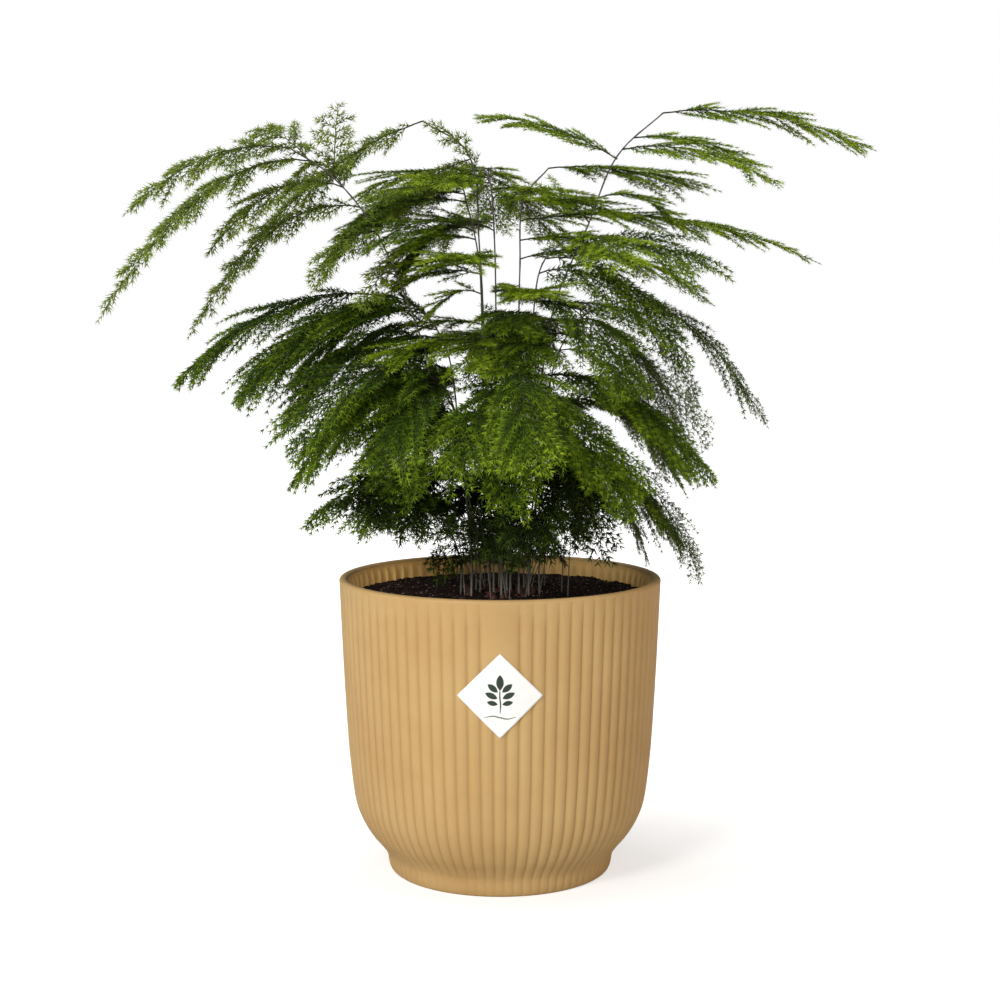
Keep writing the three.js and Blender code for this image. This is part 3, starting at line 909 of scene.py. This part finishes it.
# Shoots as the CAD has them, in millimetres and degrees: the azimuth they lean along, the foot as
# [share of the crown's radius, degrees], the path as [distance from the axis, height above the
# soil], and plumes as [share of the stem, turn, reach, lift, fall, half width, look].
shoots = [
    (195, (0.48, 215), [(17, 55), (40, 125), (57, 161), (74, 180), (90, 190)],
     [(1, -14, 70, 6, 28, 11, "airy"), (0.955, 20, 96, 4, 67, 10, "airy"), (0.77, 24, 34, 2, 24, 7, "airy"),
      (0.9, -105, 26, 18, -34, 8, "airy"), (0.96, -60, 40, 16, -14, 9, "airy")]),
    (168, (0.2, 165), [(6, 80), (9, 150), (14, 190), (34, 204)],
     [(1, 6, 84, -12, 62, 11, "airy"), (0.67, 4, 48, 4, 2, 9, "tier")]),
    (205, (0.22, 235), [(8, 90), (10, 145), (17, 174)],
     [(1, -38, 64, 10, 33, 13, "mid"), (0.88, -22, 34, 4, 2, 9, "tier")]),
    (346, (0.22, 310), [(15, 70), (24, 125), (38, 158), (51, 188), (70, 205)],
     [(1, 6, 88, 5, 17, 11, "tier"), (0.88, 184, 62, 20, -18, 9, "tier"), (0.93, 40, 60, 4, 8, 9, "tier")]),
    (18, (0.22, 20), [(8, 80), (9, 140), (11, 171), (22, 184)],
     [(1, 0, 70, 4, 7, 14, "tier"), (0.86, -8, 136, 12, 18, 11, "tier")]),
    (325, (0.48, 320), [(15, 60), (17, 118), (22, 143), (34, 153)],
     [(1, 18, 60, 4, 12, 14, "mid"), (0.6, 10, 84, 12, 44, 14, "front")]),
    (172, (0.48, 170), [(17, 60), (24, 108), (38, 126), (56, 130)],
     [(1, 8, 88, 6, 40, 16, "dense"), (0.84, 28, 84, 10, 38, 15, "dense"),
      (0.78, -28, 78, 9, 28, 15, "dense")]),
    (222, (0.78, 225), [(20, 48), (27, 84), (40, 99), (54, 100)],
     [(1, -14, 50, 4, 36, 15, "dense"), (0.8, -46, 66, 8, 44, 14, "front"),
      (0.78, 20, 52, 7, 32, 14, "dense")]),
    (5, (0.48, 350), [(18, 60), (25, 104), (38, 122), (54, 127)],
     [(1, -2, 64, 2, 56, 11, "trail"), (0.86, 36, 66, 2, 58, 11, "trail"),
      (0.8, -34, 66, 2, 48, 12, "trail")]),
    (278, (0.78, 272), [(20, 48), (27, 84), (38, 98), (50, 98)],
     [(1, -2, 46, 2, 34, 15, "front"), (0.82, -38, 46, 5, 32, 14, "front"),
      (0.78, 50, 50, 5, 32, 14, "front")]),
    (312, (0.78, 315), [(21, 32), (26, 52), (36, 60)],
     [(1, 0, 28, 2, 40, 10, "shade"), (0.8, -52, 34, 4, 26, 12, "shade")]),
    (196, (0.78, 190), [(22, 28), (28, 46), (40, 54)],
     [(1, -10, 46, 2, 24, 10, "front"), (0.8, 36, 50, 4, 8, 14, "shade")]),
    (352, (0.78, 352), [(23, 34), (32, 56), (46, 61)],
     [(1, 2, 42, -2, 56, 9, "trail"), (0.8, 40, 56, 2, 36, 11, "trail")]),
    (84, (0.48, 85), [(19, 58), (26, 100), (40, 118), (56, 120)],
     [(1, 0, 74, 4, 40, 15, "mid")]),
    (132, (0.78, 135), [(22, 46), (30, 78), (44, 90), (58, 90)],
     [(1, 0, 64, 4, 38, 16, "dense")]),
    (100, (0.22, 95), [(9, 85), (13, 150), (24, 178), (40, 186)],
     [(1, -14, 76, 6, 26, 13, "tier"), (0.92, 44, 72, 8, 20, 13, "tier")]),
    (42, (0.78, 40), [(22, 42), (30, 72), (44, 83), (58, 82)],
     [(1, 0, 60, 4, 38, 16, "mid")]),
]


def footOf(shoot, z):
    share, azimuth = shoot[1]
    return polar(share * crown["radius"], azimuth, z)


def stemPath(shoot):
    heights = (stem["socketBottom"] + stem["clearance"], crown["top"] + stem["uprightFoot"])
    feet = [footOf(shoot, z) for z in heights]
    return throughPoints(feet + [polar(r * mm, shoot[0], soilTop + h * mm) for r, h in shoot[2]])


def makeStems(material):
    for number, shoot in enumerate(shoots, 1):
        path = stemPath(shoot)
        count = int(pathLength(path) / stem["ringGap"])
        rand = random.Random(40 + number)
        radii = []
        for i in range(count + 1):
            radius = stem["foot"] + (stem["tip"] - stem["foot"]) * (i / count)
            if i % stem["scarEvery"] == 2:
                radius *= stem["scarSwell"]
            radii.append(radius * rand.uniform(0.95, 1.05))
        bm = bmesh.new()
        sweep(bm, evenly(path, count), radii, stem["sides"])
        name = f"stem_{number:02d}"
        addPiece(f"wiry_{name}", bm, material, "stems", name)


# Young stems between the others
def makeYoungStems(material):
    rand = random.Random(12)
    bm = bmesh.new()
    for k in range(stem["young"]):
        azimuth = 137.5 * k + rand.uniform(-15, 15)
        r = stem["youngRoot"][0] + (stem["youngRoot"][1] - stem["youngRoot"][0]) * math.sqrt(rand.random())
        rise = rand.uniform(*stem["youngRise"])
        foot = polar(r * mm, azimuth, 0) + Vector((6 * mm, 0, 0))
        foot.z = max(soilHeight(foot.x, foot.y), crown["top"] - 1 * mm) - 1.5 * mm
        lean = polar(rand.uniform(*stem["youngLean"]) * mm, azimuth + rand.uniform(-50, 50), rise * mm)
        middle = foot + Vector((lean.x * 0.3, lean.y * 0.3, lean.z * 0.5))
        path = [bend(foot, middle, foot + lean, t / 12) for t in range(13)]
        radius = rand.uniform(*stem["youngRadius"]) * mm
        sweep(bm, path, [radius * (1 - 0.45 * t / 12) * rand.uniform(0.94, 1.06) for t in range(13)], 6)
    addPiece("young_stems", bm, material, "stems")


def stemMaterial():
    material, tree, shader = newMaterial("wiryStem")
    place = objectPlace(tree)
    rise = addRange(tree, axisOf(tree, place, "Z"), soilTop, soilTop + 200 * mm, 0, 1)
    skin = addRamp(tree, rise, [(0, stem["pale"]), (0.05, stem["pale"]), (0.16, stem["green"]),
                                (0.5, stem["green"]), (0.8, stem["dusk"])])
    patches = patchy(tree, place, 420, 2)
    finishShader(shader, glaze(tree, patches, 0.35, 1, 0.6, skin, stem["scar"]), patches, stem["finish"])
    return material


# Foliage

# How each kind of plume looks, in millimetres: gap between side twigs, lean of a twig from the rib
# in degrees, twiglet length and gap, gap between tufts, needle length, flat is how much a tuft is
# pressed to the plate, roll turns the plate's front edge down, roof slopes both sides down, droop
# bends twigs, ragged is for uneven lengths, wide scales the half width, more is how many smaller
# plumes hang under it, full gives the tufts wider needles, and the tints run from inside out.
usualLook = {"lean": 34, "twiglet": 4.6, "twigletGap": 3.4, "tuftGap": 2.5, "needle": 4.0, "flat": 0.75,
             "roof": 0.15, "droop": 0.5, "ragged": 0.35, "more": 1, "full": True}
ownLooks = {
    "airy": {"gap": 4.8, "lean": 40, "twiglet": 3.4, "twigletGap": 3.5, "tuftGap": 1.9, "needle": 3.9,
             "flat": 0.85, "roll": (5, 40), "ragged": 0.45, "wide": 1.0,
             "tints": [(62, 76, 22), (98, 116, 36), (130, 148, 50), (152, 168, 70)]},
    "tier": {"gap": 5.2, "twiglet": 3.8, "twigletGap": 3.1, "tuftGap": 2.2, "needle": 3.8, "flat": 0.5,
             "roll": (0, 8), "roof": 0.08, "droop": 0.15, "ragged": 0.3, "wide": 1.35,
             "tints": [(46, 62, 8), (92, 118, 14), (142, 166, 26), (178, 196, 52)]},
    "mid": {"gap": 5.8, "lean": 36, "twiglet": 4.2, "needle": 3.9, "roll": (4, 26), "droop": 0.35,
            "wide": 1.35, "tints": [(26, 38, 5), (56, 78, 10), (98, 124, 20), (146, 170, 44)]},
    "dense": {"gap": 5.7, "roll": (6, 34), "droop": 0.3, "wide": 1.4, "more": 2,
              "tints": [(20, 32, 4), (48, 72, 8), (88, 116, 16), (144, 168, 38)]},
    "front": {"gap": 5.5, "roll": (0, 20), "roof": 0.2, "droop": 0.45, "wide": 1.25, "more": 2,
              "tints": [(22, 36, 4), (60, 86, 9), (106, 134, 18), (160, 182, 46)]},
    "trail": {"gap": 5.0, "lean": 28, "twiglet": 3.2, "twigletGap": 3.6, "tuftGap": 2.1, "needle": 3.1,
              "flat": 0.85, "roll": (5, 45), "roof": 0.2, "ragged": 0.45, "wide": 1.05, "full": False,
              "tints": [(40, 54, 20), (70, 88, 32), (98, 114, 52), (132, 142, 88)]},
    # painted shade: very dark needles for plumes deep in the plant, standing for the shadow there
    "shade": {"gap": 5.8, "lean": 40, "twigletGap": 3.8, "tuftGap": 3.0, "needle": 4.8, "flat": 0.85,
              "roll": (5, 45), "droop": 0.4, "ragged": 0.4, "wide": 1.3,
              "tints": [(9, 16, 2), (19, 30, 4), (38, 54, 9), (80, 102, 24)]},
}
looks = {name: {**usualLook, **own} for name, own in ownLooks.items()}

# Shoots with a leafy top: the share of the stem below it, and half its width
leafyTops = {2: (0.82, 5), 7: (0.8, 8), 8: (0.8, 8), 10: (0.8, 8), 14: (0.8, 9), 15: (0.8, 9), 17: (0.8, 9)}

# More plumes on some shoots, as in the shoot table
moreSprays = {
    3: [(0.97, -24, 60, 8, 22, 11, "tier"), (0.92, 6, 52, 6, 14, 10, "tier"),
        (0.99, -62, 44, 6, 12, 11, "tier")],
    6: [(0.8, -10, 58, 6, 40, 14, "front"), (0.92, 28, 62, 5, 46, 12, "mid")],
    12: [(0.75, 42, 34, 3, 12, 10, "front")],
    16: [(0.97, 62, 64, 8, 10, 12, "tier"), (0.94, 108, 46, 6, 8, 11, "tier"),
         (0.9, -70, 44, 6, 10, 11, "tier")],
}

# Extra leafy side shoots along the stems: their count, the shoots they grow on by turns, the height
# above the soil from low to high, their turn from the shoot's own azimuth, reach, fall and half width,
# and the looks from low to high
fillers = {
    # the low fillers mostly take the shade look, painted shade in the middle of the plant
    "low": {"count": 38, "on": range(1, 18), "rise": (20, 78), "turn": 150, "reach": (14, 30),
            "fall": (-2, 20), "half": (8, 11), "looks": ("shade", "shade", "mid")},
    "middle": {"count": 15, "on": (2, 5, 3, 9, 16, 14, 8, 17), "rise": (66, 128), "turn": 180,
               "reach": (26, 50), "fall": (-2, 16), "half": (9, 12), "looks": ("dense", "mid", "mid")},
    "high": {"count": 13, "on": (2, 3, 4, 5, 16, 14), "rise": (104, 180), "turn": 100, "reach": (34, 60),
             "fall": (-6, 14), "half": (9, 13), "looks": ("tier", "tier", "tier")},
}

twig = {
    "ribRadius": 0.4 * mm,
    "ribTaper": 0.72,
    "ribStep": 4 * mm,
    "ribWobble": 0.3 * mm,  # a rib is never quite straight
    "ribTuftGap": 1.9 * mm,
    "radius": 0.2 * mm,
    "taper": 0.5,
    "step": 3.6 * mm,
    "shortest": 2.4 * mm,
    "sag": 60,  # how fast a twig bends down, per metre
    "twigletRadius": 0.13 * mm,
    "twigletWay": (0.78, 0.62, 0.12),  # along the twig, aside, and at random out of the plate
    "twigletsTo": 0.9,  # share of the twig that bears them
    "needleSize": (0.85, 1.1),
    "tipNeedle": 0.75,
    "dark": linear(46, 40, 38),
    "green": linear(76, 82, 44),
    "finish": ((0.42, 0.62), (2500, 0.2, 0.2, 0.1 * mm)),
}

# Where bark and needles start along the tints of the map, and how much of it the needles take
barkTint = 0.02
needleTint = 0.16
needleTints = 0.8


# The bend of a plume on its shoot: its start, middle and end
def plumeBend(shoot, spray):
    at, turn, reach, lift, fall = spray[:5]
    rings = evenly(stemPath(shoot), stem["rings"])
    below = min(int(at * stem["rings"]), stem["rings"] - 1)
    start = rings[below].lerp(rings[below + 1], at * stem["rings"] - below)
    return hangingBend(start, shoot[0] + turn, reach, lift, fall)


def hangingBend(start, heading, reach, lift, fall):
    middle = start + polar(reach * mm / 2, heading, lift * mm)
    end = start + polar(reach * mm, heading, -fall * mm)
    return start, middle, end


def axesMatrix(place, x, y, z):
    matrix = Matrix((x, y, z)).transposed().to_4x4()
    matrix.translation = place
    return matrix


def stampStick(bm, a, b, radius, tint):
    way = b - a
    length = way.length
    z = way / length
    x = z.orthogonal().normalized()
    stamp(bm, shapes["stick"], axesMatrix(a, x * radius, z.cross(x) * radius, way * 1.02), tint)


def stampTuft(bm, place, way, normal, size, look, tint, rand):
    x = normal.cross(way).normalized()
    y = way.cross(x)
    roll = Matrix.Rotation(rand.uniform(0, 6.283), 4, "Z")
    press = axesMatrix(place, x * size, y * size * look["flat"], way * size)
    tuft = rand.choice(shapes["fullTufts" if look["full"] else "tufts"])
    stamp(bm, tuft, press @ roll, needleTint + needleTints * min(max(tint, 0), 1))


# A twig that bends down as it grows, with tufts all along and twiglets in its plate
def growTwig(bm, place, way, normal, length, radius, look, tint, rand, twiglets=True):
    steps = max(1, round(length / twig["step"]))
    step = length / steps
    gap, twigletGap = look["tuftGap"] * mm, look["twigletGap"] * mm
    needle = look["needle"] * mm
    carried = gap * rand.random()
    untilTwiglet = twigletGap * rand.uniform(0.5, 1)
    onward, aside, outward = twig["twigletWay"]
    hand = rand.choice((-1, 1))
    for k in range(steps):
        share = (k + 1) / steps
        way = (way - up * look["droop"] * step * twig["sag"] * share).normalized()
        nextPlace = place + way * step
        stampStick(bm, place, nextPlace, radius * (1 - twig["taper"] * share), barkTint + 0.07 * share)
        while carried < step:
            along = (k * step + carried) / length
            size = needle * (1 - 0.35 * along ** 2) * rand.uniform(*twig["needleSize"])
            shade = tint + 0.4 * along + rand.uniform(-0.08, 0.08)
            stampTuft(bm, place + way * carried, way, normal, size, look, shade, rand)
            carried += gap
        carried -= step
        untilTwiglet -= step
        while twiglets and untilTwiglet <= 0 and share < twig["twigletsTo"]:
            untilTwiglet += twigletGap / 2
            hand = -hand
            side = normal.cross(way).normalized() * hand
            out = way * onward + side * aside + normal * rand.uniform(-outward, outward)
            size = look["twiglet"] * mm * (1.25 - 0.9 * share) * rand.uniform(0.75, 1.15)
            root = nextPlace + way * min(untilTwiglet, 0)
            growTwig(bm, root, out.normalized(), normal, size, twig["twigletRadius"], look,
                     tint + 0.35 * share, rand, False)
        place = nextPlace
    shade = tint + 0.45 + rand.uniform(-0.1, 0.1)
    stampTuft(bm, place, way, normal, needle * twig["tipNeedle"], look, shade, rand)


# A plume: a rib along a bend with side twigs by turns, widest before its middle
def growPlume(bm, start, middle, end, half, look, rand):
    path = [bend(start, middle, end, k / 40) for k in range(41)]
    length = pathLength(path)
    rib = evenly(path, max(8, int(length / twig["ribStep"])))
    for spot in rib[1:]:
        spot += Vector([rand.uniform(-1, 1) for _ in range(3)]) * twig["ribWobble"]
    count = len(rib) - 1
    for k in range(count):
        radius = twig["ribRadius"] * (1 - twig["ribTaper"] * (k / count))
        stampStick(bm, rib[k], rib[k + 1], radius, barkTint + 0.05 * k / count)
    roll = math.radians(rand.uniform(*look["roll"]))

    # The rib's place there, and the directions along, across and out of the plume's plate
    def plateAt(share):
        spot = share * count
        below = min(int(spot), count - 1)
        way = bendWay(start, middle, end, share)
        side = up.cross(way).normalized()
        lower = roll * max(-1, min(1, side.y * 1.6))  # the edge nearer the front goes down
        turn = Matrix.Rotation(lower, 3, way)
        return rib[below].lerp(rib[below + 1], spot - below), way, turn @ side, turn @ way.cross(side)

    twigs = max(6, int(length / (look["gap"] * mm) * 2))
    for k in range(twigs):
        share = 0.04 + 0.9 * (k + rand.uniform(0.25, 0.75)) / twigs
        place, way, side, normal = plateAt(share)
        hand = 1 if k % 2 else -1
        width = half * look["wide"] * math.sin(math.pi * (0.1 + 0.9 * share) ** 0.8)
        lean = math.radians(look["lean"] * rand.uniform(0.8, 1.2))
        uneven = 1 + look["ragged"] * rand.uniform(-1, 0.7)
        reach = max(width / math.sin(lean) * uneven, twig["shortest"])
        tilt = normal * rand.uniform(-0.22, 0.22) - up * look["roof"]
        out = (way * math.cos(lean) + side * hand * math.sin(lean) + tilt).normalized()
        tint = 0.02 + 0.2 * share + rand.uniform(-0.12, 0.16)
        growTwig(bm, place, out, normal, reach, twig["radius"] * (1 - 0.4 * share), look, tint, rand)
    tufts = int(length / twig["ribTuftGap"])
    for k in range(tufts):  # needles on the rib itself, closer towards the tip
        share = k / tufts
        if rand.random() < 0.1 + share:
            place, way, _, normal = plateAt(share)
            size = look["needle"] * mm * (1 - 0.4 * share ** 3)
            stampTuft(bm, place, way, normal, size, look, 0.15 + 0.6 * share, rand)


# Smaller plumes from lower down the same stem, so that a shoot is leafy all along its top
def growCompanions(bm, shoot, spray, look, rand):
    path = evenly(stemPath(shoot), 40)
    at, turn, reach, lift, fall, half = spray[:6]
    for k in range(look["more"]):
        share = max(0.3, at - 0.07 * (k + 1) - rand.uniform(0, 0.05))
        heading = shoot[0] + turn + rand.choice((-1, 1)) * rand.uniform(8, 30)
        longer = reach * rand.uniform(0.6, 0.88)
        lower = fall * longer / reach + rand.uniform(0, 8)
        where = hangingBend(path[int(share * 40)], heading, longer, lift + rand.uniform(-1, 4), lower)
        growPlume(bm, *where, half * rand.uniform(0.8, 1) * mm, look, rand)


# Leafy top of a stem, for the shoots that aren't bare up there
def growTop(bm, shoot, share, half, look, rand):
    path = evenly(stemPath(shoot), 40)
    first = int(share * 40)
    middle = path[(first + 40) // 2] * 2 - (path[first] + path[40]) / 2
    growPlume(bm, path[first], middle, path[40], half * mm, look, rand)


def makeFoliage(materials):
    total = 0
    for number, shoot in enumerate(shoots, 1):
        for letter, spray in zip("abcde", shoot[3]):
            node = f"plume_{number:02d}{letter}"
            look = looks[spray[6]]
            rand = random.Random(number * 31 + ord(letter))
            bm = stampingGround()
            growPlume(bm, *plumeBend(shoot, spray), spray[5] * mm, look, rand)
            growCompanions(bm, shoot, spray, look, rand)
            if letter == "a":
                for more in moreSprays.get(number, []):
                    growPlume(bm, *plumeBend(shoot, more), more[5] * mm, looks[more[6]], rand)
                if number in leafyTops:
                    growTop(bm, shoot, *leafyTops[number], look, rand)
            total += len(bm.faces)
            addPiece(f"feathery_{node}", bm, materials[spray[6]], "plumes", node, smooth=False)
    print("plumes made,", total, "faces")


# Side shoots that fill the middle
def makeFillers(materials, level):
    rand = random.Random(level)
    filler = fillers[level]
    bunches = {name: stampingGround() for name in sorted(set(filler["looks"]))}
    for k in range(filler["count"]):
        height = (k + rand.random()) / filler["count"]
        lowest, highest = filler["rise"]
        rise = lowest + (highest - lowest) * height
        shoot = shoots[filler["on"][k % len(filler["on"])] - 1]
        path = evenly(stemPath(shoot), 60)
        start = min(path[:50], key=lambda spot: abs(spot.z - soilTop - rise * mm))
        azimuth = shoot[0] + rand.uniform(-1, 1) * filler["turn"]
        reach, fall, half = (rand.uniform(*filler[key]) for key in ("reach", "fall", "half"))
        where = hangingBend(start, azimuth, reach, 5, min(fall, rise * 0.4))
        name = filler["looks"][int(height * 2.99)]
        growPlume(bunches[name], *where, half * mm, looks[name], rand)
    for name, bm in bunches.items():
        print("fillers", level, name, len(bm.faces), "faces")
        addPiece(f"inner_{level}_{name}", bm, materials[name], "plumes", smooth=False)


def needleMaterial(name, tints):
    material, tree, shader = newMaterial(name + "Needles", 0.12)
    tint, along, streak = stampedParts(tree, 90, 2, 1.6)
    inner, mid, outer, tip = (linear(*c) for c in tints)
    leaf = addRamp(tree, tint, [(0, twig["dark"]), (0.11, twig["green"]), (0.139, twig["green"]),
                                (0.145, inner), (0.45, mid), (0.75, outer), (1, tip)])
    shaded = glaze(tree, streak, 0, 1, 0.3, leaf, inner)
    foot = addRange(tree, along, 0, 0.35, 0.3, 0)
    finishShader(shader, addMix(tree, foot, shaded, inner), streak, twig["finish"])
    return material


# Put together

# A white sky that lights softly, and a floor that is white to the eye but takes a soft shadow
def makeRoom():
    world = bpy.data.worlds.new("softWhite")
    world.use_nodes = True
    tree = world.node_tree
    sky = tree.nodes["Background"].inputs
    give(sky["Color"], (1, 1, 1))
    rays = addNode(tree, "ShaderNodeLightPath").outputs["Is Camera Ray"]
    give(sky["Strength"], addRange(tree, rays, 0, 1, room["skyLight"], room["skySeen"]))
    scene.world = world

    bm = bmesh.new()
    bmesh.ops.create_circle(bm, cap_ends=True, segments=64, radius=room["floorHalf"])
    material, tree, shader = newMaterial("paleFloor")
    give(shader.inputs["Base Color"], room["floorColour"])
    give(shader.inputs["Roughness"], room["floorRoughness"])
    distance = addNode(tree, "ShaderNodeVectorMath", operation="LENGTH")
    give(distance.inputs[0], objectPlace(tree))
    glow = addRange(tree, distance.outputs["Value"], *room["glowSpan"], *room["floorGlow"])
    rays = addNode(tree, "ShaderNodeLightPath").outputs["Is Camera Ray"]
    give(shader.inputs["Emission Color"], addMath(tree, "MULTIPLY", glow, rays))
    give(shader.inputs["Emission Strength"], 1)
    floor = addObject("floor", bm, material)


scene.view_settings.view_transform = "Standard"
makeCamera()
makeLamps()
makeRoom()
print("camera, lamps and room made")

makePot(potPlastic())
print("pot made")
makeLabel(labelPaper(), labelInk())
print("label made")

shapeRand = random.Random(3)
shapes = {
    "stick": stickShape(),
    "tufts": [tuftShape(shapeRand, 4, 0.066, 42) for _ in range(8)],
    "fullTufts": [tuftShape(shapeRand, 4, 0.085, 40) for _ in range(8)],
}
makeSoil(soilMaterial(), grainMaterial())
makeCrown(crownMaterial())
print("soil and crown made")

wiryStem = stemMaterial()
makeStems(wiryStem)
makeYoungStems(wiryStem)
print("stems made")

needles = {name: needleMaterial(name, look["tints"]) for name, look in looks.items()}
makeFoliage(needles)
for level in fillers:
    makeFillers(needles, level)
